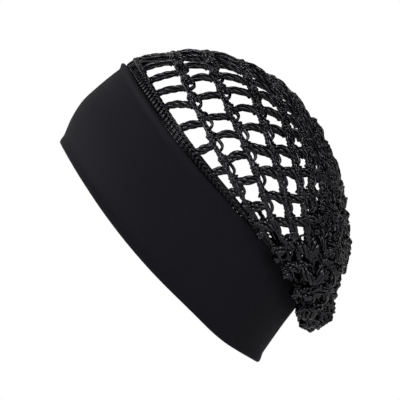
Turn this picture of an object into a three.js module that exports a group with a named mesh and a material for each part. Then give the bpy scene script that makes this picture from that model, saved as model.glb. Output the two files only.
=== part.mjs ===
// A slouchy crocheted hair net that hangs from a wide, smooth stretch headband, in the form it has when worn.
// Millimetres, +Z up, the wearer looks along -Y, and X = 0 is the mirror plane between left and right.
// The origin is the middle of the head opening, which is the band's lower edge.
import * as THREE from "three";

const BAND_THICKNESS = 2.0;
const BAND_STEPS = 60;

const EDGING_FRONT_WIDTH = 8.6;
const EDGING_NAPE_WIDTH = 5.6;
const EDGING_THICKNESS = 3.0;
const EDGING_GAP = 0.5;
// Where the edging turns over, near the nape, it stands this far off the middle of the band's wall.
const EDGING_TURNED_RISE = 0.9;
const EDGING_TURNED_OUT = 2.9;
// How far the edging keeps to the band's own direction where it isn't turned over.
const EDGING_STIFFNESS = 0.7;

const NET_THICKNESS = 3.0;
const NET_GAP = 0.8; // to the edging
const NET_COLUMNS = 34;
const PILLAR_WIDTH = 0.24; // of a column
const CHAIN_WIDTH = 0.14; // of a row
const PIERCED_ROWS = 5;
const PIERCED_COLUMNS_PER_SIDE = 11;
const POUCH_FOLDS = 8;

const CLOSING_RING_RADIUS = 4.6;
const CLOSING_RING_TUBE = 2.0;

// The lines round the band on its outer face, from the rim up to the turned lip at the top.
const BAND_LINES = [
  { at: "rim", frontY: -65.6, frontZ: 71.4, napeY: 64.3, napeZ: -72.3, bow: -11.7, halfWidth: 77.4 },
  { at: "hem crease", frontY: -62.8, frontZ: 78.4, napeY: 68.6, napeZ: -65.4, bow: -11.6, halfWidth: 76.6 },
  { at: "above hem", frontY: -58.0, frontZ: 89.2, napeY: 74.6, napeZ: -56.8, bow: -11.3, halfWidth: 78.2 },
  { at: "lower middle", frontY: -50.9, frontZ: 100.0, napeY: 81.5, napeZ: -47.2, bow: -10.8, halfWidth: 79.6 },
  { at: "upper middle", frontY: -41.3, frontZ: 109.0, napeY: 88.4, napeZ: -38.3, bow: -10.2, halfWidth: 80.0 },
  { at: "below lip", frontY: -31.9, frontZ: 116.8, napeY: 95.0, napeZ: -29.7, bow: -9.6, halfWidth: 79.4 },
  { at: "lip crease", frontY: -25.6, frontZ: 121.5, napeY: 99.6, napeZ: -22.7, bow: -9.3, halfWidth: 78.5 },
  { at: "lip", frontY: -23.2, frontZ: 124.2, napeY: 102.0, napeZ: -19.6, bow: -9.2, halfWidth: 78.5 },
];

// The rounds of the net after the edging. Lift turns the columns towards the front, and gather is the depth
// of the folds that the bunched pouch hangs in.
const NET_ROUNDS = [
  { frontY: 7.9, frontZ: 131.2, napeY: 96.8, napeZ: -39.0, bow: -2.7, halfWidth: 85.8, lift: 3.3, gather: 0 },
  { frontY: 29.7, frontZ: 131.6, napeY: 95.2, napeZ: -45.4, bow: 4.0, halfWidth: 86, lift: 7.5, gather: 0 },
  { frontY: 52.4, frontZ: 126.0, napeY: 97.6, napeZ: -49.4, bow: 6.6, halfWidth: 85.5, lift: 14.7, gather: 0 },
  { frontY: 71.4, frontZ: 116.3, napeY: 101.6, napeZ: -49.8, bow: 7.3, halfWidth: 83.5, lift: 18.3, gather: 0.3 },
  { frontY: 86.6, frontZ: 105.8, napeY: 105.3, napeZ: -46.8, bow: 5.9, halfWidth: 80, lift: 23, gather: 0.8 },
  { frontY: 98.5, frontZ: 91.2, napeY: 108.6, napeZ: -43.2, bow: 5.3, halfWidth: 76, lift: 27, gather: 1.4 },
  { frontY: 107.9, frontZ: 75.2, napeY: 111.2, napeZ: -39.4, bow: 4.6, halfWidth: 70, lift: 30, gather: 1.9 },
  { frontY: 115.2, frontZ: 58.0, napeY: 113.6, napeZ: -34.8, bow: 4.0, halfWidth: 62, lift: 32, gather: 2.1 },
  { frontY: 120.6, frontZ: 41.4, napeY: 115.6, napeZ: -29.9, bow: 3.3, halfWidth: 53, lift: 33, gather: 1.9 },
  { frontY: 123.6, frontZ: 25.4, napeY: 117.5, napeZ: -25.0, bow: 2.6, halfWidth: 42, lift: 33, gather: 1.4 },
  { frontY: 124.2, frontZ: 9.9, napeY: 119.3, napeZ: -19.8, bow: 1.7, halfWidth: 26, lift: 33, gather: 0.6 },
  { frontY: 123.6, frontZ: -1.2, napeY: 120.6, napeZ: -15.6, bow: 0, halfWidth: 7.3, lift: 33, gather: 0 },
];

const JERSEY = new THREE.MeshStandardMaterial({ color: 0x1c1b20, roughness: 0.82, metalness: 0 });
const YARN = new THREE.MeshStandardMaterial({ color: 0x0b0b0e, roughness: 0.45, metalness: 0 });

// The front and nape ends of a line round the head, its middle and the way it bows, away from the rim.
function lineEnds(line) {
  const front = new THREE.Vector3(0, line.frontY, line.frontZ);
  const nape = new THREE.Vector3(0, line.napeY, line.napeZ);
  const middle = front.clone().add(nape).multiplyScalar(0.5);
  const half = nape.clone().sub(front).multiplyScalar(0.5);
  const bowed = new THREE.Vector3(0, -half.z, half.y).normalize().multiplyScalar(line.bow);
  return { middle, half, bowed };
}

// A point of a line round the head, at an angle from the front (0) over the +X side to the nape (pi).
function pointOnLine(line, angle) {
  const { middle, half, bowed } = lineEnds(line);
  const side = new THREE.Vector3(line.halfWidth * Math.sin(angle), 0, 0);
  return middle
    .addScaledVector(half, -Math.cos(angle))
    .addScaledVector(bowed, Math.sin(angle) ** 2)
    .add(side);
}

// The frame at the band's top edge: a point in the middle of the wall, and the ways along the edge, up the
// wall and out of it.
function bandTop(angle) {
  const lip = BAND_LINES.at(-1);
  const below = BAND_LINES.at(-3);
  const point = pointOnLine(lip, angle);
  const along = pointOnLine(lip, angle + 0.01).sub(pointOnLine(lip, angle - 0.01)).normalize();
  const rise = point.clone().sub(pointOnLine(below, angle));
  rise.addScaledVector(along, -rise.dot(along)).normalize();
  const out = along.clone().cross(rise);
  point.addScaledVector(out, -BAND_THICKNESS / 2);
  return { point, along, rise, out };
}

// Where the edging starts, the way it runs across, its width, and its face direction. The net pulls it towards
// the first round, so near the nape it turns over outwards and hangs down outside the band.
function edgingAt(angle) {
  const { point, along, rise, out } = bandTop(angle);
  const across = pointOnLine(NET_ROUNDS[0], liftedAngle(NET_ROUNDS[0], angle)).sub(point);
  across.addScaledVector(along, -across.dot(along)).normalize();
  across.addScaledVector(rise, EDGING_STIFFNESS * Math.max(0, across.dot(rise))).normalize();
  const turned = (1 - across.dot(rise)) / 2;
  const start = point
    .addScaledVector(rise, THREE.MathUtils.lerp(EDGING_GAP, EDGING_TURNED_RISE, turned))
    .addScaledVector(out, EDGING_TURNED_OUT * turned);
  const face = along.clone().cross(across);
  const width = THREE.MathUtils.lerp(EDGING_NAPE_WIDTH, EDGING_FRONT_WIDTH, ((1 + Math.cos(angle)) / 2) ** 2);
  return { start, across, width, face };
}

// The angle of a column in a round, after the lift.
function liftedAngle(line, angle) {
  return angle - THREE.MathUtils.degToRad(line.lift) * Math.sin(angle);
}

// A point of a round of the net, in a column. Round 0 is the edging's upper edge.
function netKnot(column, round) {
  const angle = (2 * Math.PI * column) / NET_COLUMNS;
  if (round === 0) {
    const { start, across, width } = edgingAt(angle);
    return start.addScaledVector(across, width + NET_GAP);
  }
  const line = NET_ROUNDS[round - 1];
  const { middle } = lineEnds(line);
  const point = pointOnLine(line, liftedAngle(line, angle));
  const outwards = point.clone().sub(middle).normalize();
  return point.addScaledVector(outwards, line.gather * Math.cos(POUCH_FOLDS * angle));
}

// A point between the rounds, on a smooth curve through the column's knots.
function netPoint(column, row) {
  const last = NET_ROUNDS.length;
  const base = Math.min(Math.floor(row), last - 1);
  const [a, b, c, d] = [base - 1, base, base + 1, base + 2].map((round) =>
    netKnot(column, THREE.MathUtils.clamp(round, 0, last)),
  );
  const curve = new THREE.CatmullRomCurve3([a, b, c, d], false, "catmullrom", 0.5);
  return curve.getPoint((1 + row - base) / 3);
}

// The normal of a closed grid of lines round the head, out of the head.
function gridNormal(lines, row, step) {
  const steps = lines[row].length;
  const next = lines[row][(step + 1) % steps];
  const previous = lines[row][(step + steps - 1) % steps];
  const above = lines[Math.min(row + 1, lines.length - 1)][step];
  const below = lines[Math.max(row - 1, 0)][step];
  const along = next.clone().sub(previous);
  const rise = above.clone().sub(below);
  return along.cross(rise).normalize();
}

// A cloth wall on a grid of lines that go round the head, with the open cells cut through.
function wallGeometry(lines, outside, inside, isOpen) {
  const steps = lines[0].length;
  const positions = [];
  const triangles = [];
  for (const offset of [outside, -inside]) {
    lines.forEach((line, row) => {
      line.forEach((point, step) => {
        const moved = point.clone().addScaledVector(gridNormal(lines, row, step), offset);
        positions.push(moved.x, moved.y, moved.z);
      });
    });
  }
  const outer = (row, step) => row * steps + (step % steps);
  const inner = (row, step) => outer(row, step) + lines.length * steps;
  const quad = (a, b, c, d) => triangles.push(a, b, c, a, c, d);
  const top = (row, step) =>
    quad(outer(row, step), outer(row, step + 1), inner(row, step + 1), inner(row, step));
  const bottom = (row, step) =>
    quad(inner(row, step), inner(row, step + 1), outer(row, step + 1), outer(row, step));
  for (let step = 0; step < steps; step += 1) {
    bottom(0, step);
    top(lines.length - 1, step);
    for (let row = 0; row < lines.length - 1; row += 1) {
      const up = row + 1;
      const on = step + 1;
      if (isOpen(row, step)) {
        top(row, step);
        bottom(up, step);
        quad(outer(row, step), inner(row, step), inner(up, step), outer(up, step));
        quad(outer(row, on), outer(up, on), inner(up, on), inner(row, on));
      } else {
        quad(outer(row, step), outer(row, on), outer(up, on), outer(up, step));
        quad(inner(row, step), inner(up, step), inner(up, on), inner(row, on));
      }
    }
  }
  return geometryOf(positions, triangles);
}

function geometryOf(positions, triangles) {
  const geometry = new THREE.BufferGeometry();
  geometry.setAttribute("position", new THREE.Float32BufferAttribute(positions, 3));
  geometry.setIndex(triangles);
  geometry.computeVertexNormals();
  return geometry;
}

function namedMesh(name, geometry, material) {
  const mesh = new THREE.Mesh(geometry, material);
  mesh.name = name;
  return mesh;
}

function headband() {
  const angles = Array.from({ length: BAND_STEPS }, (_, i) => (2 * Math.PI * i) / BAND_STEPS);
  const lines = BAND_LINES.map((line) => angles.map((angle) => pointOnLine(line, angle)));
  return namedMesh("headband", wallGeometry(lines, 0, BAND_THICKNESS, () => false), JERSEY);
}

// Two rolls of stitches side by side, as one ring with a waisted section.
function crochetEdging() {
  const half = EDGING_THICKNESS / 2;
  const arc = [-130, -70, 0, 70, 130].map(THREE.MathUtils.degToRad);
  const section = [
    ...arc.map((a) => ({ share: (3 + Math.cos(a)) / 4, height: half * Math.sin(a) })),
    ...arc.map((a) => ({ share: (1 - Math.cos(a)) / 4, height: -half * Math.sin(a) })),
  ];
  const steps = 2 * NET_COLUMNS;
  const positions = [];
  const triangles = [];
  for (let step = 0; step < steps; step += 1) {
    const { start, across, width, face } = edgingAt((2 * Math.PI * step) / steps);
    for (const { share, height } of section) {
      const point = start.clone().addScaledVector(across, width * share).addScaledVector(face, height);
      positions.push(point.x, point.y, point.z);
    }
  }
  const sides = section.length;
  const vertex = (step, side) => (step % steps) * sides + (side % sides);
  for (let step = 0; step < steps; step += 1) {
    for (let side = 0; side < sides; side += 1) {
      const corners = [
        vertex(step, side),
        vertex(step, side + 1),
        vertex(step + 1, side + 1),
        vertex(step + 1, side),
      ];
      triangles.push(corners[0], corners[1], corners[2], corners[0], corners[2], corners[3]);
    }
  }
  return namedMesh("crochet_edging", geometryOf(positions, triangles), YARN);
}

// The net: pillars and chains as bars round open cells on the crown, and a closed folded wall in the pouch.
function crownNet() {
  const columns = [];
  for (let column = 0; column < NET_COLUMNS; column += 1) {
    columns.push(column - PILLAR_WIDTH / 2, column + PILLAR_WIDTH / 2);
  }
  const rows = [0, CHAIN_WIDTH / 2];
  for (let round = 1; round <= PIERCED_ROWS; round += 1) {
    rows.push(round - CHAIN_WIDTH / 2, round + CHAIN_WIDTH / 2);
  }
  for (let round = PIERCED_ROWS + 1; round <= NET_ROUNDS.length; round += 1) {
    rows.push(round);
  }
  const lines = rows.map((row) => columns.map((column) => netPoint(column, row)));
  const isOpen = (row, step) => {
    const betweenPillars = step % 2 === 1;
    const betweenChains = row % 2 === 1 && row < 2 * PIERCED_ROWS;
    const column = (step - 1) / 2;
    const fromFront = Math.min(column, NET_COLUMNS - 1 - column);
    return betweenPillars && betweenChains && fromFront < PIERCED_COLUMNS_PER_SIDE;
  };
  const half = NET_THICKNESS / 2;
  return namedMesh("crown_net", wallGeometry(lines, half, half, isOpen), YARN);
}

// The ring that gathers the last round, at the back of the pouch.
function closingRing() {
  const { middle, half } = lineEnds(NET_ROUNDS.at(-1));
  const geometry = new THREE.TorusGeometry(CLOSING_RING_RADIUS, CLOSING_RING_TUBE, 8, 18);
  const ring = namedMesh("closing_ring", geometry, YARN);
  const outwards = new THREE.Vector3(0, -half.z, half.y).normalize();
  ring.position.copy(middle);
  ring.quaternion.setFromUnitVectors(new THREE.Vector3(0, 0, 1), outwards);
  return ring;
}

const hairNet = new THREE.Group();
hairNet.add(headband(), crochetEdging(), crownNet(), closingRing());

export default hairNet;
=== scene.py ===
"""A crocheted hair net on a wide stretch headband: jersey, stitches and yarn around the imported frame.

Everything is in metres. The wearer looks along -Y, +Z is up, and X = 0 is the mirror plane between left
and right.
"""

import math
from collections import namedtuple

import bmesh
import bpy
import numpy as np
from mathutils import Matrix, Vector


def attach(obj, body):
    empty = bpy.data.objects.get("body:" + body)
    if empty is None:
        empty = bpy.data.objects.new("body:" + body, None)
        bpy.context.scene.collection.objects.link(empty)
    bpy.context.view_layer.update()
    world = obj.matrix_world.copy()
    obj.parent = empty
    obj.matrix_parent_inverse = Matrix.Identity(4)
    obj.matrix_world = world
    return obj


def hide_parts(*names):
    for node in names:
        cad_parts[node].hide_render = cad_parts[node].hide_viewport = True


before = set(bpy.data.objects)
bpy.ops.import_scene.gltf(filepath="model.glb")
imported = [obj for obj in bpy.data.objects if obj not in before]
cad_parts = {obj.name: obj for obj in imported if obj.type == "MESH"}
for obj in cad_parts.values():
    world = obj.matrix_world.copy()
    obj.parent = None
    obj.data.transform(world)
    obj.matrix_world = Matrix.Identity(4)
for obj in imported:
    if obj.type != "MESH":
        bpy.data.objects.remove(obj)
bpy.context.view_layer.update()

bl_info = {
    "name": "Crochet hair net",
    "version": (1, 0, 0),
    "blender": (4, 5, 0),
    "location": "3D View > Sidebar > Hair Net",
    "description": "Makes a crocheted hair net with a wide jersey headband, stitch by stitch",
    "category": "Object",
}

TAU = 2 * math.pi

# A line round the head: its front and nape ends, how far it bows off the straight line between them, and
# half its width. Lift turns the columns of the net towards the front, in degrees, and gather is the depth
# of the folds that the pouch hangs in.
Line = namedtuple("Line", "front_y front_z nape_y nape_z bow half_width lift gather", defaults=(0, 0))

# From the rim up to the turned lip at the top.
BAND_LINES = [
    Line(-0.0656, 0.0714, 0.0643, -0.0723, -0.0117, 0.0774),
    Line(-0.0628, 0.0784, 0.0686, -0.0654, -0.0116, 0.0766),
    Line(-0.0580, 0.0892, 0.0746, -0.0568, -0.0113, 0.0782),
    Line(-0.0509, 0.1000, 0.0815, -0.0472, -0.0108, 0.0796),
    Line(-0.0413, 0.1090, 0.0884, -0.0383, -0.0102, 0.0800),
    Line(-0.0319, 0.1168, 0.0950, -0.0297, -0.0096, 0.0794),
    Line(-0.0256, 0.1215, 0.0996, -0.0227, -0.0093, 0.0785),
    Line(-0.0232, 0.1242, 0.1020, -0.0196, -0.0092, 0.0785),
]
BAND_TOP = len(BAND_LINES) - 1

# The rounds of the net, from the first after the edging to the one that the closing ring gathers.
NET_ROUNDS = [
    Line(0.0079, 0.1312, 0.0968, -0.0390, -0.0027, 0.0858, 3.3),
    Line(0.0297, 0.1316, 0.0952, -0.0454, 0.0040, 0.0860, 7.5),
    Line(0.0524, 0.1260, 0.0976, -0.0494, 0.0066, 0.0855, 14.7),
    Line(0.0714, 0.1163, 0.1016, -0.0498, 0.0073, 0.0835, 18.3, 0.0003),
    Line(0.0866, 0.1058, 0.1053, -0.0468, 0.0059, 0.0800, 23, 0.0008),
    Line(0.0985, 0.0912, 0.1086, -0.0432, 0.0053, 0.0760, 27, 0.0014),
    Line(0.1079, 0.0752, 0.1112, -0.0394, 0.0046, 0.0700, 30, 0.0019),
    Line(0.1152, 0.0580, 0.1136, -0.0348, 0.0040, 0.0620, 32, 0.0021),
    Line(0.1206, 0.0414, 0.1156, -0.0299, 0.0033, 0.0530, 33, 0.0019),
    Line(0.1236, 0.0254, 0.1175, -0.0250, 0.0026, 0.0420, 33, 0.0014),
    Line(0.1242, 0.0099, 0.1193, -0.0198, 0.0017, 0.0260, 33, 0.0006),
    Line(0.1236, -0.0012, 0.1206, -0.0156, 0.0, 0.0073, 33),
]

COLUMNS = 34
ROUNDS = len(NET_ROUNDS)
HALVED_AFTER = 8  # after this round only every second column goes on
POUCH_FOLDS = 8

BAND_THICKNESS = 0.0020
# How far the rim swells down on both sides of the nape, at which cosine of the angle and how widely, and
# over how many of the band's lines the swell fades.
RIM_SWELL = 0.0022
RIM_SWELL_AT = -0.72
RIM_SWELL_SPREAD = 0.22
RIM_SWELL_LINES = 2.5

EDGING_FRONT_WIDTH = 0.0086
EDGING_NAPE_WIDTH = 0.0056
EDGING_GAP = 0.0005
# How high and how far out the edging starts where it turns back over the lip.
EDGING_TURNED_RISE = 0.0009
EDGING_TURNED_OUT = 0.0029
EDGING_STIFFNESS = 0.7
# How far inside the edging's outer border the first pillars stand.
FOOT_SINK = 0.0010


def unit(v):
    """Vectors made one long."""
    return v / np.maximum(np.linalg.norm(v, axis=-1, keepdims=True), 1e-12)


def square_to(along, v):
    """Vectors leaned square to others, and made one long."""
    return unit(v - along * (v * along).sum(-1, keepdims=True))


def smooth(x):
    """A soft step from 0 to 1."""
    x = np.clip(x, 0, 1)
    return x * x * (3 - 2 * x)


def within(x, low, high, edge):
    """1 between two values and 0 outside them, with soft edges on the inner sides."""
    return smooth((x - low) / edge) * smooth((high - x) / edge)


def bell(x):
    """A bell curve, 1 at 0."""
    return np.exp(-(x**2))


def along_line(line, angle):
    """Points of a line round the head, at angles from the front (0) over the +X side to the nape (pi)."""
    angle = np.asarray(angle, float)[..., None]
    front = np.array([0, line.front_y, line.front_z])
    nape = np.array([0, line.nape_y, line.nape_z])
    half = (nape - front) / 2
    bowed = unit(np.array([0, -half[2], half[1]])) * line.bow
    side = np.array([line.half_width, 0, 0])
    sine = np.sin(angle)
    return (front + nape) / 2 - half * np.cos(angle) + bowed * sine**2 + side * sine


def middle_of(line):
    """The middle between a line's front and nape."""
    return np.array([0, line.front_y + line.nape_y, line.front_z + line.nape_z]) / 2


def between(points, t):
    """A smooth curve through four points, at t from the second to the third."""
    a, b, c, d = points
    t = np.asarray(t, float)[..., None]
    return b + t / 2 * (c - a + t * (2 * a - 5 * b + 4 * c - d + t * (3 * (b - c) + d - a)))


def band_point(row, angle):
    """Points on the band's outer face, at a row between its lines."""
    row = float(np.clip(row, 0, BAND_TOP))
    below = min(int(row), BAND_TOP - 1)
    rows = [np.clip(below + i, 0, BAND_TOP) for i in (-1, 0, 1, 2)]
    points = [along_line(BAND_LINES[i], angle) for i in rows]
    down = unit(along_line(BAND_LINES[0], angle) - along_line(BAND_LINES[1], angle))
    swell = RIM_SWELL * bell((np.cos(angle) - RIM_SWELL_AT) / RIM_SWELL_SPREAD)
    swell = swell * smooth(1 - row / RIM_SWELL_LINES)
    return between(points, np.full(np.shape(angle), row - below)) + down * np.asarray(swell)[..., None]


def band_normal(row, angle):
    """The way out of the band's outer face."""
    step = 0.02
    along = band_point(row, angle + step) - band_point(row, angle - step)
    rise = band_point(row + step, angle) - band_point(row - step, angle)
    return unit(np.cross(along, rise))


def edging_frame(angle):
    """Where the edging starts on the band's top edge, the way across its width, and its face direction."""
    step = 0.01
    lip, below = BAND_LINES[-1], BAND_LINES[-3]
    point = along_line(lip, angle)
    along = unit(along_line(lip, angle + step) - along_line(lip, angle - step))
    rise = square_to(along, point - along_line(below, angle))
    out = np.cross(along, rise)
    point = point - out * BAND_THICKNESS / 2
    lifted = angle - math.radians(NET_ROUNDS[0].lift) * np.sin(angle)
    across = square_to(along, along_line(NET_ROUNDS[0], lifted) - point)
    stiff = EDGING_STIFFNESS * np.maximum(0, (across * rise).sum(-1, keepdims=True))
    across = unit(across + rise * stiff)
    turned = (1 - (across * rise).sum(-1, keepdims=True)) / 2
    start = point + rise * (EDGING_GAP + (EDGING_TURNED_RISE - EDGING_GAP) * turned)
    start = start + out * EDGING_TURNED_OUT * turned
    return start, across, np.cross(along, across)


def edging_width(angle):
    """The width of the edging, round the head."""
    front = ((1 + np.cos(angle)) / 2) ** 2
    return EDGING_NAPE_WIDTH + (EDGING_FRONT_WIDTH - EDGING_NAPE_WIDTH) * front


def angle_of(column):
    """The angle round the head at which a column stands before it is lifted."""
    return TAU * column / COLUMNS


def from_front(column):
    """How many columns a column is from the front one, on either side."""
    return np.minimum(column, COLUMNS - column)


def towards_nape(column):
    """1 on the +X side and -1 on the other: the way in which columns are counted towards the nape."""
    return -1 if column > COLUMNS / 2 else 1


def knot_point(column, round_number):
    """A point of a round of the net in a column. Round 0 is the edging's upper edge."""
    angle = angle_of(np.asarray(column, float))
    if round_number == 0:
        start, across, _ = edging_frame(angle)
        return start + across * (edging_width(angle) - FOOT_SINK)[..., None]
    line = NET_ROUNDS[round_number - 1]
    point = along_line(line, angle - math.radians(line.lift) * np.sin(angle))
    return point + unit(point - middle_of(line)) * (line.gather * np.cos(POUCH_FOLDS * angle))[..., None]


def net_point(column, row):
    """Points of the net between its rounds, on smooth curves through the columns' knots."""
    column, row = np.broadcast_arrays(np.asarray(column, float), np.asarray(row, float))
    row = np.clip(row, 0, ROUNDS)
    below = np.minimum(row.astype(int), ROUNDS - 1)
    out = np.zeros(column.shape + (3,))
    for b in np.unique(below):
        here = below == b
        rows = [min(max(b + i, 0), ROUNDS) for i in (-1, 0, 1, 2)]
        out[here] = between([knot_point(column[here], r) for r in rows], row[here] - b)
    return out


def net_normal(column, row):
    """The way out of the net."""
    aside, up = 0.1, 0.02
    row = np.clip(row, up, ROUNDS - up)
    along = net_point(column + aside, row) - net_point(column - aside, row)
    rise = net_point(column, row + up) - net_point(column, row - up)
    return unit(np.cross(along, rise))


# Yarn

# The radius of each ply, as a share of the cord's.
PLY_SHARE = {2: 0.58, 3: 0.52, 4: 0.42}
# How thin a cord's plies are where it is thinnest, and how early it is thickest.
THINNEST = 0.4
THICK_EARLY = 0.85
# A braid's height, as a share of its plies' radius, and its core, as a share of its half width.
BRAID_HEIGHT = 0.85
BRAID_CORE = 0.8
BRAID_PLIES = 3


def lengths(path):
    """How far along a path each of its points lies."""
    steps = np.linalg.norm(np.diff(path, axis=0), axis=1)
    return np.concatenate([[0], np.cumsum(steps)])


def ways_off(path, out):
    """The way out and the way sideways, square to a path at each of its points."""
    along = unit(np.gradient(path, axis=0))
    out = square_to(along, out)
    return out, np.cross(along, out)


class YarnWork:
    """Collects runs of yarn and makes one mesh of them. Radii are in metres."""

    def __init__(self):
        self.runs = []

    def run(self, points, radius, closed=False):
        """One ply along points."""
        points = np.asarray(points, float)
        self.runs.append((points, np.broadcast_to(radius, len(points)).astype(float), closed))

    def cord(self, path, out, radius, plies, pitch, phase, ends=0.75):
        """Plies that turn round a path, thinner at the ends. Pitch is the length of one turn."""
        length = lengths(path)
        out, side = ways_off(path, out)
        share = PLY_SHARE[plies]
        swell = ends + (1 - ends) * np.sin(math.pi * (length / max(length[-1], 1e-9)) ** THICK_EARLY)
        ply_radius = radius * share * (THINNEST + (1 - THINNEST) * swell)
        for i in range(plies):
            turn = phase + TAU * (length / pitch + i / plies)
            off = (out * np.cos(turn)[:, None] + side * np.sin(turn)[:, None]) * (1 - share)
            self.run(path + off * (radius * swell)[:, None], ply_radius)

    def braid(self, path, out, width, radius, pitch, phase=0.0, closed=False):
        """A flat braid over a core, as a chain of stitches lies. Its half width may vary along it."""
        width = np.broadcast_to(width, len(path))
        length = lengths(path)
        out, side = ways_off(path, out)
        if closed:
            pitch = length[-1] / round(length[-1] / pitch)
        last = -1 if closed else None
        for i in range(BRAID_PLIES):
            turn = phase + TAU * (length / pitch + i / BRAID_PLIES)
            off = side * (width * np.sin(turn))[:, None]
            off = off + out * (radius * BRAID_HEIGHT * np.sin(2 * turn))[:, None]
            self.run((path + off)[:last], radius, closed)
        self.run(path[:last], width[:last] * BRAID_CORE, closed)

    def make(self, name, material):
        """The mesh object of all the runs."""
        data = bpy.data.curves.new(name, "CURVE")
        data.dimensions = "3D"
        data.bevel_depth = 1.0
        data.bevel_resolution = 1
        data.use_fill_caps = True
        for points, radius, closed in self.runs:
            spline = data.splines.new("POLY")
            spline.use_cyclic_u = closed
            spline.points.add(len(points) - 1)
            spline.points.foreach_set("co", np.column_stack([points, np.ones(len(points))]).ravel())
            spline.points.foreach_set("radius", radius)
        curve = in_scene(name + "_runs", data)
        mesh = bpy.data.meshes.new_from_object(curve)
        bpy.data.objects.remove(curve)
        bpy.data.curves.remove(data)
        mesh.name = name
        mesh.shade_smooth()
        return placed(name, mesh, material)


def in_scene(name, data):
    """A new object in the scene."""
    made = bpy.data.objects.new(name, data)
    bpy.context.scene.collection.objects.link(made)
    return made


def placed(name, mesh, material):
    """A piece made of a finished mesh."""
    piece = in_scene(name, mesh)
    mesh.materials.clear()
    mesh.materials.append(material)
    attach(piece, "root")
    return piece


# The crumple of the net

# How deep the net lies under its rounds' surface, how much deeper the pouch, and how deep its second layer.
NET_DEPTH = 0.0008
POUCH_DEPTH = 0.0012
LINING_DEPTH = 0.0048
# The pouch's folds are waves: how many, how often each goes round the head, how far it turns from a round
# to the next, and its phase. They fade in over the first rounds and are shallow at the mirror plane.
FOLD_DEPTH = 0.0032
FOLD_WAVES = 9
WAVE_LEAST = (2, -2.4, 0)
WAVE_MOST = (7, 2.4, TAU)
FOLD_ROUNDS = 4
FOLD_SHALLOW = 0.2
# How much flatter the pouch's middle lies, from which round on, and over how many rounds that fades in.
BACK_DEPTH = 0.0026
BACK_FROM = 8.5
BACK_OVER = 2.5
# How far the net dips in above the pouch at the mirror plane, at which round, and over how many rounds and
# columns that fades.
DIP_DEPTH = 0.0036
DIP_ROUND = 6.1
DIP_ROUNDS = 1.3
DIP_COLUMNS = 5
# How uneven the net hangs, in columns, rows and metres: everywhere, and where it is bunched.
OPEN_SPREAD = (0.035, 0.030, 0.0003)
BUNCHED_SPREAD = (0.28, 0.20, 0.0010)
# How far the far side's pillars next to the mirror plane lean over it, in columns, and up to which round.
TOP_LEAN = 0.45
TOP_LEAN_ROUNDS = 7
# The open net reaches so many columns from the front, and more in its middle rows, and so many rows up, and
# more in its middle columns. The last two are the columns and rows in which it closes up.
OPEN_COLUMNS = 9.2
MORE_COLUMNS = 1.5
OPEN_ROWS = 5.2
MORE_ROWS = 1.1
CLOSING_COLUMNS = 2.3
CLOSING_ROWS = 2.2

# How far the knots of each round hang towards the nape, in columns, at places counted in columns from the
# front. Row 0 is for the feet of the second round's pillars, next to their own knots, and the last row is
# for all later rounds, until the hang ends.
HANG_PLACES = (0, 1, 3, 4.5, 6, 8, 9, 14)
HANG = [
    (0, -0.15, -0.25, -0.16, 0.0, -0.16, -0.30, 0.0),
    (0, 0.0, 0.04, 0.13, 0.13, 0.16, 0.26, 0.0),
    (0, -0.1, -0.18, -0.04, 0.14, 0.0, -0.08, 0.0),
    (0, -0.1, -0.18, 0.10, 0.21, 0.27, 0.26, 0.0),
    (0, -0.1, -0.20, 0.06, 0.10, 0.26, 0.20, 0.0),
    (0, 0.0, -0.10, 0.05, 0.20, 0.22, 0.15, 0.0),
]
HANG_END = 8
HANG_FADE = 3
# How far the first knots hang towards the band, in rows, and where that ends.
DROP = 0.07
DROP_END = 4.5
DROP_FADE = 2.5


def dense(column, row):
    """How bunched the net is at a place, from 0 on the open crown to 1 in the pouch."""
    aside = from_front(column)
    open_to = OPEN_COLUMNS + MORE_COLUMNS * within(row, 1.2, 4.9, 1.2)
    open_up_to = OPEN_ROWS + MORE_ROWS * within(aside, 3, 11, 2)
    higher_up = smooth((row - open_up_to) / CLOSING_ROWS)
    return np.maximum(higher_up, smooth((aside - open_to) / CLOSING_COLUMNS))


def settle(aside, round_number):
    """How far a knot of the open net hangs towards the nape and towards the band, in columns and rows."""
    hang = np.interp(aside, HANG_PLACES, HANG[min(round_number, len(HANG) - 1)])
    drop = DROP * smooth((DROP_END - round_number) / DROP_FADE)
    return np.array([hang * smooth((HANG_END - round_number) / HANG_FADE), -drop, 0])


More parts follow.
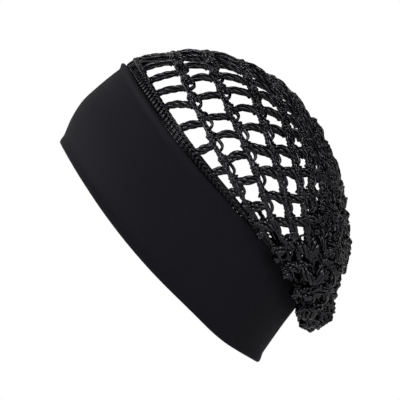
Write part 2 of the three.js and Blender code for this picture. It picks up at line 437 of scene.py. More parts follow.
class Layer:
    """One layer of the net and its seeded unevenness.

    The unevenness is the same on both sides where the net is open, and its own on each side in the pouch.
    Shift moves the layer by columns, rows and metres out of the net, and only knots at least so dense
    belong to it.
    """

    def __init__(self, seed, amount, shift, least=0.0):
        rng = np.random.default_rng(seed)
        self.amount = amount
        self.shift = np.array(shift)
        self.least = least
        self.waves = rng.uniform(WAVE_LEAST, WAVE_MOST, (FOLD_WAVES, 3))
        self.even = rng.normal(0, 1, (COLUMNS + 1, ROUNDS + 1, 3))
        self.own = rng.normal(0, 1, (COLUMNS + 1, ROUNDS + 1, 3))

    def holds(self, column, round_number):
        """Whether a knot belongs to the layer."""
        inside = round_number + self.shift[1] <= ROUNDS
        return inside and dense(column % COLUMNS, round_number) >= self.least

    def spots(self, first_round=1):
        """The rounds and columns of the layer's knots."""
        for round_number in range(first_round, ROUNDS + 1):
            for column in range(0, COLUMNS, column_step(round_number)):
                if self.holds(column, round_number):
                    yield round_number, column

    def knot(self, column, round_number):
        """The shift of a knot: in columns, in rows, and out of the net in metres."""
        column %= COLUMNS
        aside = from_front(column)
        even = self.even[aside, round_number] * OPEN_SPREAD
        if round_number > 0:
            even = even + settle(aside, round_number)
        even = even * [towards_nape(column), 1, 1]
        if column == COLUMNS - 1 and 0 < round_number < TOP_LEAN_ROUNDS:
            even = even + [TOP_LEAN, 0, 0]
        own = self.own[column, round_number] * float(dense(column, round_number)) * BUNCHED_SPREAD
        return (even + own - [0, 0, self.drawn_in(column, round_number)]) * self.amount + self.shift

    def drawn_in(self, column, round_number):
        """How deep a knot lies in the pouch and its folds, in metres."""
        folds = smooth(round_number / FOLD_ROUNDS) * self.fold(column, round_number)
        depth = float(dense(column, round_number)) * (POUCH_DEPTH + folds)
        dip = bell((round_number - DIP_ROUND) / DIP_ROUNDS) * smooth(1 - from_front(column) / DIP_COLUMNS)
        return depth + BACK_DEPTH * smooth((round_number - BACK_FROM) / BACK_OVER) + DIP_DEPTH * dip

    def fold(self, column, row):
        """How far the pouch's folds draw it in, in metres."""
        angle = angle_of(column)
        waves = [math.sin(around * angle + down * row + phase) for around, down, phase in self.waves]
        aside = FOLD_SHALLOW + (1 - FOLD_SHALLOW) * smooth(abs(math.sin(angle)) * 2)
        return FOLD_DEPTH * aside * abs(sum(waves)) / len(waves) ** 0.5


def column_step(round_number):
    """How many columns lie from a knot of a round to the next one."""
    return 1 if round_number <= HALVED_AFTER else 2


def place(column, row, lift):
    """Points off the net's middle surface."""
    column = np.asarray(column, float)
    row = np.asarray(row, float)
    lift = np.asarray(lift, float)
    return net_point(column, row) + net_normal(column, row) * lift[..., None]


def path_of(flat):
    """A path on the net and the way out of the net along it."""
    return place(*flat.T), net_normal(flat[:, 0], flat[:, 1])


def bent(ends, bulge, count, skew=1.0):
    """Points from one end to the other, bulging by (columns, rows, lift), sooner where skew is below 1."""
    t = np.linspace(0, 1, count)[:, None]
    return ends[0] + (ends[1] - ends[0]) * t + np.asarray(bulge) * np.sin(math.pi * t**skew)


def points_for(ends, spacing, least, most):
    """How many points a run between two flat places needs."""
    first, last = place(*np.array(ends).T)
    return int(np.clip(round(np.linalg.norm(last - first) / spacing) + 1, least, most))


def stand_on(spot):
    """A place on the net with the ways up its column, round its round, and out."""
    above = spot + [0, 0.1, 0]
    here, there = place(*np.array([spot, above]).T)
    out = net_normal(spot[:1], spot[1:2])[0]
    up = unit(there - here)
    return here, up, unit(np.cross(out, up)), out


def step_forward(column, round_number):
    """How far the columns turn towards the front from a round to the next, in columns."""
    if not 1 <= round_number < ROUNDS:
        return 0.0
    lift = NET_ROUNDS[round_number].lift - NET_ROUNDS[round_number - 1].lift
    return math.radians(lift) * math.sin(angle_of(column)) * COLUMNS / TAU


def columns_per_metre(column, round_number):
    """How many columns a metre along a round takes, counted towards the nape."""
    pair = knot_point([column, column + 1], round_number)
    return towards_nape(column) / max(np.linalg.norm(pair[1] - pair[0]), 0.004)


# The feet and heads of the pillars

# Where a pillar starts above the last round and ends below its own, in rows, and how far it stands out.
BASE_RISE = 0.24
BASE_LIFT = 0.0004
HEAD_DROP = 0.03
# How much of a round's turn towards the front its pillars' feet take, for the second round and the rest.
SECOND_SLANT = 0.45
SLANT = 0.35
# How far the first pillars' feet stand towards the nape, in columns, where the net is stretched sideways,
# and how much less at the fifth column. The shift fades towards the nape and gives way to another there.
FOOT_SHIFT = 0.34
FOOT_SHIFT_LOSS = 0.26
LOSS_COLUMN = 5
LOSS_COLUMNS = 1.6
NAPE_SHIFT = 0.16
NAPE_SHIFT_FROM = 8
NAPE_SHIFT_OVER = 1.5
FOOT_RISE = 0.02
# Where the far side's two pillars next to the mirror plane stand, and how far its lowest ones stand out of
# line with the near side's, in columns.
TOP_FOOT_SHIFT = -0.2
FAR_FOOT_SHIFT = 0.45
FAR_FOOT_FROM = 10
# The lump of stitches beside a foot: how far towards the front, how far above the round and how far out it
# is, and how much deeper the lumps on the mirror plane and next to it lie.
LUMP_AHEAD = 0.0021
LUMP_RISE = 0.09
LUMP_LIFT = 0.0002
LUMP_SINK = 0.0018


def head(layer, column, round_number):
    """The head of a pillar: column, row and lift."""
    return np.array([column, round_number - HEAD_DROP, 0.0]) + layer.knot(column, round_number)


def first_base(layer, column):
    """The base of a first pillar, on the edging."""
    aside = from_front(column)
    shift = (FOOT_SHIFT - FOOT_SHIFT_LOSS * bell((aside - LOSS_COLUMN) / LOSS_COLUMNS)) * smooth(aside)
    shift = shift * smooth((COLUMNS / 2 - aside) / 5)
    shift = shift + NAPE_SHIFT * smooth((aside - NAPE_SHIFT_FROM) / NAPE_SHIFT_OVER)
    if column >= COLUMNS - 2:
        shift = TOP_FOOT_SHIFT
    if column > COLUMNS / 2 and aside > FAR_FOOT_FROM:
        shift = shift + FAR_FOOT_SHIFT
    spot = np.array([column + shift * towards_nape(column), FOOT_RISE, 0.0])
    return spot + layer.knot(column, 0) * [1, 0, 1]


def base(layer, column, round_number):
    """The base of the pillar that goes up to a round."""
    below = round_number - 1
    if below == 0:
        return first_base(layer, column)
    forward = step_forward(column, below) * (SECOND_SLANT if below == 1 else SLANT)
    if below == 1:
        forward = forward - settle(from_front(column), 0)[0] * towards_nape(column)
    return np.array([column - forward, below + BASE_RISE, BASE_LIFT]) + layer.knot(column, below)


def lump(layer, column, round_number):
    """The place of the lump of stitches beside a pillar's foot."""
    ahead = LUMP_AHEAD * columns_per_metre(column, round_number - 1)
    sunk = LUMP_SINK if from_front(column) < 2 else 0
    return base(layer, column, round_number) + [-ahead, LUMP_RISE - BASE_RISE, LUMP_LIFT - sunk]


# The yarn of the net

SEEDS = {"net": 7, "lining": 8, "pillars": 11, "chains": 12, "knots": 13, "loops": 14, "eyelets": 15}
ANY_PHASE = (0, 6.28)

# How far a pillar sways to its sides, and always to the front, in columns, and the wave that the sway
# follows from column to column and from round to round. It arches out of the net too, and further where
# that is bunched, until the last rounds.
SWAY = 0.07
SWAY_FORWARD = 0.06
SWAY_WAVE = (1.7, 2.3)
ARCH = 0.0008
BUNCHED_ARCH = 0.0026
ARCH_END = 10
ARCH_FADE = 3
PILLAR_PLIES = 4
PILLAR_PITCH = (0.022, 0.036)
# How much stouter the pillars are beside the pouch, in the first round and in the next ones, and how much
# thinner in the pouch.
FIRST_STOUTER = 0.30
SIDE_STOUTER = 0.42
STOUTER_BEFORE = 6
POUCH_THINNER = 0.12

# A chain lies a little over the heads that it joins, sinks in where the net is bunched, and hangs down
# between them. It is wider along its farther half than at its start: how much, and at and over which shares
# of its length it widens and narrows again.
CHAIN_LIFT = 0.0006
CHAIN_SINK = 0.0014
CHAIN_RISE = 0.05
CHAIN_BOW = (0, 0.05, 0.0004)
CHAIN_PITCH = 0.0095
CHAIN_WIDER = 1.0
WIDENS_AT, WIDENS_OVER = 0.32, 0.2
NARROWS_AT, NARROWS_OVER = 0.86, 0.14

# The wraps at a pillar's head and foot, and the turns of the lump beside its foot: their radius as a share
# of the pillar's, how far they slide in a turn, and how far they lean.
WRAP_SHARE = 0.68
WRAP_SLIDE = 0.0018
WRAP_LEAN = (-0.3, 0.3)
WRAP_RISE = 0.0006
LUMP_SHARE = 1.1
LUMP_SLIDE = 0.0022
LUMP_LEAN = (-0.2, 0.5)
# How bunched the net is where its wraps end, and where its loops begin.
UNWRAPPED_FROM = 0.5
LOOPS_FROM = 0.4

# The two stitches that cross over a lump: their half length along the round and up the column, how far
# out their middles lie, and how much lower their ends are.
CROSS_ALONG = 0.0021
CROSS_UP = (0.0012, 0.0020)
CROSS_OUT = 0.0030
CROSS_BEND = 0.0038
# The pouch's loops: the rows at which they lie over a pillar, how far out, and their tilt and radii.
LOOP_ROWS = (0.25, 0.75)
LOOP_LIFT = 0.0012
LOOP_ASIDE = 0.2
LOOP_TILT = 0.35
LOOP_RADII = (0.0024, 0.0034)
LOOP_SLIDE = 0.0012

# The leg that goes down from a foot to its knot: how far ahead that is, and the leg's cord.
LEG_AHEAD = 0.0014
LEG_SHARE = 0.85
LEG_PLIES = 2
LEG_PITCH = 0.010
# How far along the chain each eyelet's strand comes back to it, how far it starts from the foot, how far it
# bows off the chain in rows, and how much wider eyelets are towards the nape, from and over which columns.
EYELET_LENGTH = 0.0078
EYELET_START = 0.0012
EYELET_BOW = 0.10
EYELET_GROWTH = 0.3
GROWTH_FROM = 5.5
GROWTH_OVER = 2


def stoutness(column, round_number):
    """How stout a pillar is against the others."""
    aside = from_front(column)
    if round_number == 1:
        return 1 + FIRST_STOUTER * smooth((aside - 4.5) / 2.5)
    if round_number < STOUTER_BEFORE:
        return 1 + SIDE_STOUTER * smooth((aside - 6.5) / 1.5)
    return 1 - POUCH_THINNER * float(dense(column, round_number))


def make_pillars(yarn, layer):
    """The upright posts of the net, one in every column of every round: strands that are hardly twisted."""
    work = YarnWork()
    rng = np.random.default_rng(SEEDS["pillars"])
    for round_number, column in layer.spots(1 if layer.least == 0 else 2):
        ends = base(layer, column, round_number), head(layer, column, round_number)
        wave = SWAY_WAVE[0] * from_front(column) + SWAY_WAVE[1] * round_number
        sway = (SWAY * math.sin(wave) - SWAY_FORWARD) * towards_nape(column)
        bunched = float(dense(column, round_number) * smooth((ARCH_END - round_number) / ARCH_FADE))
        count = points_for(ends, spacing=0.0018, least=6, most=10)
        path, out = path_of(bent(ends, (sway, 0, ARCH + BUNCHED_ARCH * bunched), count, skew=0.8))
        radius = yarn.pillar_radius * stoutness(column, round_number)
        work.cord(path, out, radius, PILLAR_PLIES, rng.uniform(*PILLAR_PITCH), rng.uniform(*ANY_PHASE))
    return work


def make_chains(yarn, layer):
    """The chains that join the pillars' heads round the head."""
    work = YarnWork()
    rng = np.random.default_rng(SEEDS["chains"])
    for round_number, column in layer.spots():
        following = column + column_step(round_number)
        if not layer.holds(following, round_number):
            continue
        over = [0, CHAIN_RISE, CHAIN_LIFT - CHAIN_SINK * float(dense(column, round_number))]
        ends = [head(layer, each, round_number) + over for each in (column, following)]
        count = points_for(ends, spacing=0.0014, least=9, most=15)
        t = np.linspace(0, 1, count)
        wide = smooth((t - WIDENS_AT) / WIDENS_OVER) - smooth((t - NARROWS_AT) / NARROWS_OVER)
        width = yarn.chain_width * (1 + CHAIN_WIDER * wide)
        if towards_nape(column + 0.5) < 0:
            ends = ends[::-1]
        path, out = path_of(bent(ends, CHAIN_BOW, count, skew=1.5))
        work.braid(path, out, width, yarn.ply_radius, CHAIN_PITCH, rng.uniform(*ANY_PHASE))
    return work


def coil(centre, axis, out, radius, slide, turns, count):
    """Whole turns of yarn round an axis, sliding along it, with both ends on the side away from out."""
    axis = unit(np.asarray(axis))
    out = square_to(axis, out)
    side = np.cross(axis, out)
    t = np.linspace(0, TAU * turns, count)[:, None]
    shift = (t / TAU - turns / 2) * slide
    return centre - (out * np.cos(t) + side * np.sin(t)) * radius + axis * shift


def make_knots(yarn, layer):
    """The lump of stitches beside each pillar's foot, and the wraps at its head and foot."""
    work = YarnWork()
    rng = np.random.default_rng(SEEDS["knots"])
    for round_number, column in layer.spots():
        lean = rng.uniform(*WRAP_LEAN)
        if dense(column, round_number) < UNWRAPPED_FROM:
            radius = yarn.pillar_radius * WRAP_SHARE
            for end, rise in ((head, 0), (base, WRAP_RISE)):
                here, up, along, out = stand_on(end(layer, column, round_number))
                spot, axis = here + up * rise, up + lean * along
                work.run(coil(spot, axis, out, radius, WRAP_SLIDE, turns=1, count=10), yarn.ply_radius)
        if round_number == 1:
            continue
        here, up, along, out = stand_on(lump(layer, column, round_number))
        axis = along + rng.uniform(*LUMP_LEAN) * up
        points = coil(here, axis, out, yarn.pillar_radius * LUMP_SHARE, LUMP_SLIDE, turns=2, count=18)
        work.run(points, yarn.ply_radius)
    return work


def make_loops(yarn, layer):
    """The stitches that cross over each lump, and the loops that show where the net is bunched."""
    work = YarnWork()
    rng = np.random.default_rng(SEEDS["loops"])
    t = np.linspace(-1, 1, 6)[:, None]
    for round_number, column in layer.spots(2):
        here, up, along, out = stand_on(lump(layer, column, round_number))
        for lean in (-1, 1):
            reach = along * lean * CROSS_ALONG + up * rng.uniform(*CROSS_UP)
            path = here + t * reach + out * (CROSS_OUT - CROSS_BEND * t**2)
            work.run(path, yarn.ply_radius * (1.2 - 0.25 * t[:, 0] ** 2))
        if dense(column, round_number) < LOOPS_FROM:
            continue
        spot = base(layer, column, round_number)
        for row in LOOP_ROWS:
            shift = [rng.uniform(-LOOP_ASIDE, LOOP_ASIDE), row - BASE_RISE, LOOP_LIFT]
            here, up, along, out = stand_on(spot + shift)
            lean_up, lean_along = rng.uniform(-LOOP_TILT, LOOP_TILT), rng.uniform(-LOOP_TILT, LOOP_TILT)
            tilt = out + lean_up * up + lean_along * along
            points = coil(here, tilt, up, rng.uniform(*LOOP_RADII), LOOP_SLIDE, turns=1, count=14)
            work.run(points, yarn.ply_radius * 1.1)
    return work


def make_eyelets(yarn, layer):
    """The two legs of each foot: one goes down to its knot, the other leaves a small hole at the chain."""
    work = YarnWork()
    rng = np.random.default_rng(SEEDS["eyelets"])
    for round_number, column in layer.spots(2):
        foot = base(layer, column, round_number)
        below = foot[1] - BASE_RISE
        shift = columns_per_metre(column, round_number - 1)
        knot = np.array([foot[0] - LEG_AHEAD * shift, below + 0.02, foot[2]])
        path, out = path_of(bent((foot, knot), (0, 0, 0.0006), 5))
        radius = yarn.pillar_radius * LEG_SHARE
        work.cord(path, out, radius, LEG_PLIES, LEG_PITCH, rng.uniform(*ANY_PHASE), ends=0.95)
        wide = 1 + EYELET_GROWTH * smooth((from_front(column) - GROWTH_FROM) / GROWTH_OVER)
        aside = EYELET_START * wide * shift
        landing = np.array([foot[0] + EYELET_LENGTH * wide * shift, below + 0.10, foot[2]])
        start = foot + [aside, 0.01, 0.0002]
        path, _ = path_of(bent((start, landing), (aside, EYELET_BOW * wide, 0.0004), 8))
        work.run(path, yarn.ply_radius * 1.15)
    return work


NET_MAKERS = {
    "pillars": make_pillars,
    "chains": make_chains,
    "knots": make_knots,
    "loops": make_loops,
    "eyelets": make_eyelets,
}


# The edging

# Turns of yarn round each of the edging's rolls. A roll's place and half width are shares of the edging's
# width, and the two rolls' yarn winds opposite ways. The lean slants the stitches further.
STITCHES = 166
Roll = namedtuple("Roll", "place half_width winding lean height")
ROLLS = [Roll(0.34, 0.38, -1, 1.1, 0.0012), Roll(0.74, 0.19, 1, 0.5, 0.0018)]
ROLL_FLATNESS = 0.6
# The cords under the stitches: a place across the width, and how far they are below its middle.
FILLING = {-0.04: 0.001, 0.11: 0.0004, 0.28: 0.0003, 0.45: 0.0004, 0.58: 0.0009, 0.72: 0.0004, 0.88: 0.0005}
FILLING_RADIUS = 0.0008
# The outer chain: its middle from the edging's outer border, its height, half width and pitch.
CHAIN_INSET = 0.0011
CHAIN_HEIGHT = 0.0006
CHAIN_HALF_WIDTH = 0.0007
STITCH_PITCH = 0.0058
# How far the edging's inner side lies lower than the outer one at the front.
FRONT_SINK = 0.0017


def on_edging(angle, share, height):
    """Points of the edging at a share of its width and a height over its middle."""
    start, across, face = edging_frame(angle)
    share, height = np.broadcast_arrays(share, height)
    sunk = FRONT_SINK * (1 - share) * ((1 + np.cos(angle)) / 2) ** 4
    return start + across * (edging_width(angle) * share)[..., None] + face * (height - sunk)[..., None]


def make_edging(yarn):
    """The edging: two rolls of slanted stitches, their filling, and the chain under the first pillars."""
    work = YarnWork()
    turn = np.linspace(0, TAU * STITCHES, 14 * STITCHES + 1)[:-1]
    for roll in ROLLS:
        angle = (turn + roll.lean * np.sin(turn)) / STITCHES
        half = roll.half_width - yarn.stitch_radius * 0.8 / edging_width(angle)
        share = roll.place + half * roll.winding * np.sin(turn)
        rise = np.cos(turn)
        half_height = roll.height - yarn.stitch_radius * 0.5
        height = half_height * np.sign(rise) * np.abs(rise) ** ROLL_FLATNESS
        work.run(on_edging(angle, share, height), yarn.stitch_radius, closed=True)
    angle = np.linspace(0, TAU, 6 * COLUMNS + 1)[:-1]
    for share, below in FILLING.items():
        work.run(on_edging(angle, share, -below), FILLING_RADIUS, closed=True)
    angle = np.linspace(0, TAU, 12 * COLUMNS + 1)
    _, _, face = edging_frame(angle)
    path = on_edging(angle, 1 - CHAIN_INSET / edging_width(angle), CHAIN_HEIGHT)
    work.braid(path, face, CHAIN_HALF_WIDTH, yarn.ply_radius * 0.9, STITCH_PITCH, closed=True)
    return work


# The closing ring

RING_RADIUS = 0.0046
RING_CORE = 0.0012
RING_WRAPS = 17
RING_WRAP_RADIUS = 0.0013


def make_closing(yarn):
    """The ring that closes the net: yarn wrapped round a cord."""
    work = YarnWork()
    last = NET_ROUNDS[-1]
    middle = middle_of(last)
    half = np.array([0, last.nape_y - last.front_y, last.nape_z - last.front_z]) / 2
    axis = unit(np.array([0, -half[2], half[1]]))
    side = np.array([1.0, 0, 0])
    up = np.cross(axis, side)
    t = np.linspace(0, TAU, 49)[:, None]
    work.run(middle + (side * np.cos(t) + up * np.sin(t)) * RING_RADIUS, RING_CORE)
    t = np.linspace(0, TAU, 241)[:, None]
    spoke = side * np.cos(t) + up * np.sin(t)
    wrap = t * RING_WRAPS
    path = middle + spoke * (RING_RADIUS + RING_WRAP_RADIUS * np.cos(wrap))
    work.run(path + axis * (RING_WRAP_RADIUS * np.sin(wrap)), yarn.ply_radius * 0.8)
    return work


# Materials


class Sock:
    """A node socket that adds its Math nodes when it is used in an expression."""

    def __init__(self, graph, socket):
        self.graph = graph
        self.socket = socket

    def _math(self, operation, *values):
        return self.graph.add("ShaderNodeMath", {"operation": operation}, dict(enumerate(values)))

    def __add__(self, other):
        return self._math("ADD", self, other)

    __radd__ = __add__

    def __mul__(self, other):
        return self._math("MULTIPLY", self, other)

    __rmul__ = __mul__

    def sine(self):
        return self._math("SINE", self)


class Graph:
    """The nodes of one material."""

    def __init__(self, name):
        self.material = bpy.data.materials.new(name)
        self.material.use_nodes = True
        self.tree = self.material.node_tree
        self.tree.nodes.clear()
        self.shader = self.tree.nodes.new("ShaderNodeBsdfPrincipled")
        output = self.tree.nodes.new("ShaderNodeOutputMaterial")
        self.tree.links.new(self.shader.outputs["BSDF"], output.inputs["Surface"])

    def add(self, kind, settings=None, inputs=None, output=0):
        """A node of a kind, with its settings made first and then the values or links of its sockets."""
        node = self.tree.nodes.new(kind)
        for key, value in (settings or {}).items():
            setattr(node, key, value)
        for key, value in (inputs or {}).items():
            self._feed(node.inputs[key], value)
        return Sock(self, node.outputs[output])

    def _feed(self, socket, value):
        if isinstance(value, Sock):
            self.tree.links.new(value.socket, socket)
        else:
            socket.default_value = value

    def set(self, **values):
        """Values or links of the shader's own sockets, with _ for a space in the name."""
        for key, value in values.items():
            self._feed(self.shader.inputs[key.replace("_", " ")], value)

    def noise(self, scale, detail):
        """Noise of about 0 to 1, fixed to the object."""
        coords = self.add("ShaderNodeTexCoord", output="Object")
        inputs = {"Vector": coords, "Scale": scale, "Detail": detail}
        return self.add("ShaderNodeTexNoise", {"noise_dimensions": "3D"}, inputs)

    def bump(self, height, strength, distance):
        """A bumpy surface's normal."""
        inputs = {"Strength": strength, "Distance": distance, "Height": height}
        return self.add("ShaderNodeBump", None, inputs)

    def mix(self, factor, a, b):
        """A colour between two colours."""
        return self.add("ShaderNodeMix", {"data_type": "RGBA"}, {0: factor, 6: a, 7: b}, output=2)

    def axis(self, vector, name):
        """One coordinate of a vector."""
        return self.add("ShaderNodeSeparateXYZ", None, {0: vector}, "XYZ".index(name))


# The knit's stitches across and along the cloth.
WALE = 0.0008
COURSE = 0.0006
# How glossy the yarn is, under each of its materials' names. It is all the same yarn: the edging's copy is
# duller as painted shade that dims the front light's glints on it, and the pouch's inner layer is duller as
# painted shade for the net's own shade.
YARN_GLOSS = {"black_yarn": 0.42, "black_yarn_edging_glints_dimmed": 0.28, "black_yarn_in_painted_shade": 0.14}
YARN_HIGHLIGHT = (0.97, 0.92, 1.0, 1.0)


def shade(color, factor):
    """A lighter or darker shade of a colour."""
    return tuple(c * factor for c in color) + (1.0,)


def yarn_material(yarn, name):
    """Black, lightly glossy spun yarn, with fine fibres along each ply."""
    graph = Graph(name)
    patches = graph.noise(scale=160.0, detail=3.0)
    fibres = graph.noise(scale=2600.0, detail=2.0)
    graph.set(Base_Color=graph.mix(patches, shade(yarn.color, 0.55), shade(yarn.color, 2.2)))
    graph.set(Roughness=0.15 + 0.14 * fibres)
    graph.set(Normal=graph.bump(fibres, strength=0.15, distance=0.0001))
    # The edging's and the pouch inner layer's copies get less gloss: painted shade.
    graph.set(Specular_IOR_Level=YARN_GLOSS[name], Specular_Tint=YARN_HIGHLIGHT)
    return graph.material


def shared_yarn(name="black_yarn"):
    """One of the yarn's materials, made once."""
    return bpy.data.materials.get(name) or yarn_material(bpy.context.scene.hair_net_yarn, name)


def jersey_material(band):
    """Matt black jersey with fine knit wales that follow the cloth."""
    graph = Graph("black_jersey")
    cloth = graph.add("ShaderNodeUVMap", {"uv_map": "cloth"})
    wales = (graph.axis(cloth, "X") * (TAU / WALE)).sine()
    courses = (graph.axis(cloth, "Y") * (TAU / COURSE)).sine()
    fuzz = graph.noise(scale=1800.0, detail=3.0)
    tone = graph.noise(scale=30.0, detail=4.0)
    graph.set(Base_Color=graph.mix(tone, shade(band.color, 0.8), shade(band.color, 1.25)))
    graph.set(Roughness=0.80 + 0.12 * fuzz)
    graph.set(Normal=graph.bump(wales * 0.5 + courses * 0.3 + fuzz, strength=0.25, distance=0.00015))
    graph.set(Sheen_Weight=0.02, Sheen_Roughness=0.5, Specular_IOR_Level=0.15)
    return graph.material


# The band

# The rolled hem at the rim and the lip at the top: how far they stand out, where they end and start, over
# how many lines they fade, and over how many lines their edges are rounded.
HEM_RISE = 0.0010
HEM_END = 0.35
HEM_FADE = 0.6
HEM_ROUNDING = 0.34
LIP_RISE = 0.0017
LIP_START = 5.6
LIP_FADE = 0.8
LIP_ROUNDING = 0.50

BAND_STEPS = 240  # faces round the head
# The flat cloth: its length round the head, and both layers' height together.
CLOTH_LENGTH = 0.5
CLOTH_HEIGHT = 0.14


def band_section(thickness):
    """The band's closed section: rows, and offsets out of the cloth's face, from the rim up and back."""
    hem, wall = np.linspace(0, 1.1, 22), np.linspace(1.2, 5.5, 22)
    rows = np.concatenate([hem, wall, np.linspace(LIP_START, BAND_TOP, 20)])
    ends = np.clip(np.minimum(rows / HEM_ROUNDING, (BAND_TOP - rows) / LIP_ROUNDING), 0, 1)
    rounding = 1 - np.sqrt(ends * (2 - ends))
    proud = HEM_RISE * (1 - smooth((rows - HEM_END) / HEM_FADE))
    proud = proud + LIP_RISE * smooth((rows - LIP_START) / LIP_FADE)
    half = (thickness + proud) / 2
    outer = proud - half * rounding
    inner = -thickness + half * rounding
    return list(zip(rows, outer)) + list(zip(rows, inner))[::-1]


def band_rings(thickness):
    """The band's points: one ring round the head for each place of its section."""
    angles = np.linspace(0, TAU, BAND_STEPS + 1)
    rings = []
    for row, offset in band_section(thickness):
        normals = band_normal(np.clip(row, 0.05, BAND_TOP - 0.05), angles)
        rings.append(band_point(row, angles) + normals * offset)
    return rings


def make_band(band):
    """The headband as one closed, double wall with rounded hems."""
    rings = band_rings(band.thickness)
    count = len(rings)
    bm = bmesh.new()
    bmesh.ops.create_grid(bm, x_segments=BAND_STEPS, y_segments=count, size=1.0)
    cloth = bm.loops.layers.uv.new("cloth")
    places = {}
    for vertex in bm.verts:
        x, y = (vertex.co.x + 1) / 2, (vertex.co.y + 1) / 2
        places[vertex] = (round(x * BAND_STEPS), round(y * count))
    for face in bm.faces:
        for loop in face.loops:
            i, j = places[loop.vert]
            loop[cloth].uv = (i / BAND_STEPS * CLOTH_LENGTH, j / count * CLOTH_HEIGHT)
    for vertex, (i, j) in places.items():
        vertex.co = Vector(rings[j % count][i % BAND_STEPS])
    bmesh.ops.remove_doubles(bm, verts=bm.verts, dist=1e-6)
    bmesh.ops.recalc_face_normals(bm, faces=bm.faces)
    mesh = bpy.data.meshes.new("headband_jersey")
    bm.to_mesh(mesh)
    bm.free()
    mesh.shade_smooth()
    return mesh


# The stage

PHOTO_SIZE = 400
PHOTO_PIXEL = 0.00066
PHOTO_MIDDLE = (0.0, 0.0264, 0.03432)
SENSOR = 0.036
ROOM_LIGHT = 0.008
FLOOR_RADIUS = 1.3
FLOOR_TONE = (0.86, 0.86, 0.86, 1.0)
FLOOR_ROUGHNESS = 0.9

# A soft square light, the point that it looks at, its side and its power in watts.
Lamp = namedtuple("Lamp", "name place target size power")
LAMPS = [
    Lamp("key", (1.5, -0.7, 1.1), (0, 0.03, 0.04), 0.6, 22.0),
    Lamp("front", (-0.2, -1.9, 0.6), (0, -0.03, 0.06), 1.6, 36.0),
    Lamp("fill", (1.5, 1.0, 0.5), (0, 0.03, 0.02), 0.8, 12.0),
    Lamp("far_side", (-1.6, 0.2, 0.8), (0, 0.03, 0.04), 2.2, 12.0),
]


def make_floor(height):
    """A plain pale disc below the net."""
    bm = bmesh.new()
    bmesh.ops.create_circle(bm, cap_ends=True, segments=96, radius=FLOOR_RADIUS)
    bmesh.ops.translate(bm, verts=bm.verts, vec=(0, 0.02, height))
    mesh = bpy.data.meshes.new("floor")
    bm.to_mesh(mesh)
    bm.free()
    graph = Graph("pale_floor")
    graph.set(Base_Color=FLOOR_TONE, Roughness=FLOOR_ROUGHNESS)
    mesh.materials.append(graph.material)
    return in_scene("floor", mesh)


def make_room():
    """A room that is white to look at, and gives the black yarn only a little light of its own."""
    world = bpy.data.worlds.new("studio")
    world.use_nodes = True
    tree = world.node_tree
    seen = tree.nodes.new("ShaderNodeLightPath").outputs["Is Camera Ray"]
    strength = tree.nodes.new("ShaderNodeMapRange")
    strength.inputs["To Min"].default_value = ROOM_LIGHT
    tree.links.new(seen, strength.inputs["Value"])
    tree.links.new(strength.outputs["Result"], tree.nodes["Background"].inputs["Strength"])
    tree.nodes["Background"].inputs["Color"].default_value = (1, 1, 1, 1)
    return world


def hang_lamp(lamp):
    """A lamp in its place, turned to its target."""
    data = bpy.data.lights.new(lamp.name, "AREA")
    data.size = lamp.size
    data.energy = lamp.power
    light = in_scene(lamp.name, data)
    light.location = lamp.place
    light.rotation_euler = (Vector(lamp.target) - Vector(lamp.place)).to_track_quat("-Z", "Y").to_euler()


def make_camera(distance):
    """A camera that looks at the +X side, as far off and as long as gives the photo's frame."""
    data = bpy.data.cameras.new("camera")
    data.sensor_width = SENSOR * 1000
    data.lens = SENSOR * 1000 * distance / (PHOTO_SIZE * PHOTO_PIXEL)
    data.clip_end = 100.0
    camera = in_scene("camera", data)
    camera.location = Vector(PHOTO_MIDDLE) + Vector((distance, 0, 0))
    camera.rotation_euler = (math.pi / 2, 0, math.pi / 2)
    return camera


# The add-on


def size_property(name, description, default):
    """A setting in metres."""
    return bpy.props.FloatProperty(name=name, description=description, default=default, unit="LENGTH")


def color_property(description, default):
    """A colour setting."""
    return bpy.props.FloatVectorProperty(
        name="Colour", description=description, default=default, subtype="COLOR"
    )


class HairNetBand(bpy.types.PropertyGroup):
    """Sizes and colour of the headband."""

    thickness: size_property("Thickness", "Both cloth layers together", BAND_THICKNESS)
    color: color_property("Colour of the jersey", (0.0038, 0.0033, 0.0060))


class HairNetYarn(bpy.types.PropertyGroup):
    """Sizes and colour of the yarn."""

    pillar_radius: size_property("Pillar radius", "Half an upright post's thickness", 0.0024)
    chain_width: size_property("Chain half width", "How far a chain's plies swing", 0.00095)
    ply_radius: size_property("Ply radius", "Half a single ply's thickness", 0.00082)
    stitch_radius: size_property("Stitch radius", "Half an edging stitch's thickness", 0.001)
    crumple: bpy.props.FloatProperty(
        name="Crumple", description="How uneven the net hangs", default=1.0, min=0.0, max=2.0
    )
    color: color_property("Colour of the yarn", (0.0007, 0.0006, 0.0011))


class HairNetStage(bpy.types.PropertyGroup):
    """Floor and camera."""

    floor_height: size_property("Floor height", "Where the floor is, below the net", -0.13)
    camera_distance: size_property("Camera distance", "From the mirror plane, side on", 10.0)


class HAIRNET_OT_headband(bpy.types.Operator):
    """Make the smooth double jersey headband"""

    bl_idname = "hair_net.headband"
    bl_label = "Headband"

    def execute(self, context):
        band = context.scene.hair_net_band
        piece = placed("headband_jersey", make_band(band), jersey_material(band))
        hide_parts("headband")
        return {"FINISHED"}


class HAIRNET_OT_edging(bpy.types.Operator):
    """Make the stitched edging between the band and the net"""

    bl_idname = "hair_net.edging"
    bl_label = "Edging stitches"

    def execute(self, context):
        # The edging gets a duller copy of the same yarn: painted shade that dims the front light's glints.
        material = shared_yarn("black_yarn_edging_glints_dimmed")
        piece = make_edging(context.scene.hair_net_yarn).make("edging_stitches", material)
        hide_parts("crochet_edging")
        return {"FINISHED"}


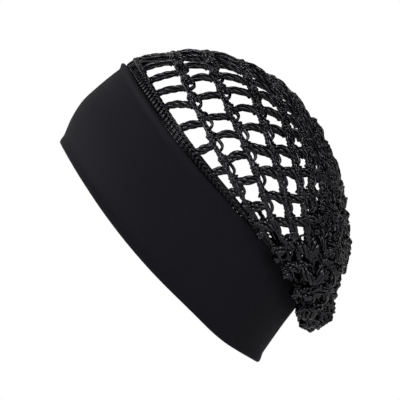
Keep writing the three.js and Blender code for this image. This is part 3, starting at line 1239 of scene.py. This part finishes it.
class HAIRNET_OT_net(bpy.types.Operator):
    """Make the net: pillars, chains, knots, loops and eyelets, and the pouch's second layer"""

    bl_idname = "hair_net.net"
    bl_label = "Crochet net"

    def execute(self, context):
        yarn = context.scene.hair_net_yarn
        net = Layer(SEEDS["net"], yarn.crumple, (0, 0, -NET_DEPTH))
        lining = Layer(SEEDS["lining"], yarn.crumple, (0.5, 0.5, -LINING_DEPTH), least=0.85)
        for name, maker in NET_MAKERS.items():
            piece = maker(yarn, net).make("net_" + name, shared_yarn())
            if name == "pillars":
                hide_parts("crown_net")
        # The pouch's inner layer gets a duller copy of the same yarn, as painted shade.
        inside = shared_yarn("black_yarn_in_painted_shade")
        for name in ("pillars", "chains"):
            piece = NET_MAKERS[name](yarn, lining).make("pouch_inner_" + name, inside)
        return {"FINISHED"}


class HAIRNET_OT_closing(bpy.types.Operator):
    """Make the ring that closes the net"""

    bl_idname = "hair_net.closing"
    bl_label = "Closing ring"

    def execute(self, context):
        piece = make_closing(context.scene.hair_net_yarn).make("closing_stitches", shared_yarn())
        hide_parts("closing_ring")
        return {"FINISHED"}


class HAIRNET_OT_stage(bpy.types.Operator):
    """Make the pale floor, the soft light and the side-on camera"""

    bl_idname = "hair_net.stage"
    bl_label = "Stage"

    def execute(self, context):
        scene = context.scene
        floor = make_floor(scene.hair_net_stage.floor_height)
        scene.world = make_room()
        for lamp in LAMPS:
            hang_lamp(lamp)
        scene.camera = make_camera(scene.hair_net_stage.camera_distance)
        scene.view_settings.view_transform = "Standard"
        return {"FINISHED"}


STEPS = (HAIRNET_OT_headband, HAIRNET_OT_edging, HAIRNET_OT_net, HAIRNET_OT_closing, HAIRNET_OT_stage)


class HAIRNET_PT_panel(bpy.types.Panel):
    """Lists the steps of the hair net"""

    bl_label = "Hair Net"
    bl_idname = "HAIRNET_PT_panel"
    bl_space_type = "VIEW_3D"
    bl_region_type = "UI"
    bl_category = "Hair Net"

    def draw(self, context):
        scene = context.scene
        for settings in (scene.hair_net_band, scene.hair_net_yarn, scene.hair_net_stage):
            box = self.layout.box()
            for key in settings.bl_rna.properties.keys():
                if key not in ("rna_type", "name"):
                    box.prop(settings, key)
        for step in STEPS:
            self.layout.operator(step.bl_idname)


GROUPS = {"hair_net_band": HairNetBand, "hair_net_yarn": HairNetYarn, "hair_net_stage": HairNetStage}


def register():
    for name, group in GROUPS.items():
        bpy.utils.register_class(group)
        setattr(bpy.types.Scene, name, bpy.props.PointerProperty(type=group))
    for step in STEPS:
        bpy.utils.register_class(step)
    bpy.utils.register_class(HAIRNET_PT_panel)


def unregister():
    bpy.utils.unregister_class(HAIRNET_PT_panel)
    for step in reversed(STEPS):
        bpy.utils.unregister_class(step)
    for name, group in GROUPS.items():
        delattr(bpy.types.Scene, name)
        bpy.utils.unregister_class(group)


def main():
    register()
    for step in STEPS:
        area, name = step.bl_idname.split(".")
        getattr(getattr(bpy.ops, area), name)()


if __name__ == "__main__":
    main()
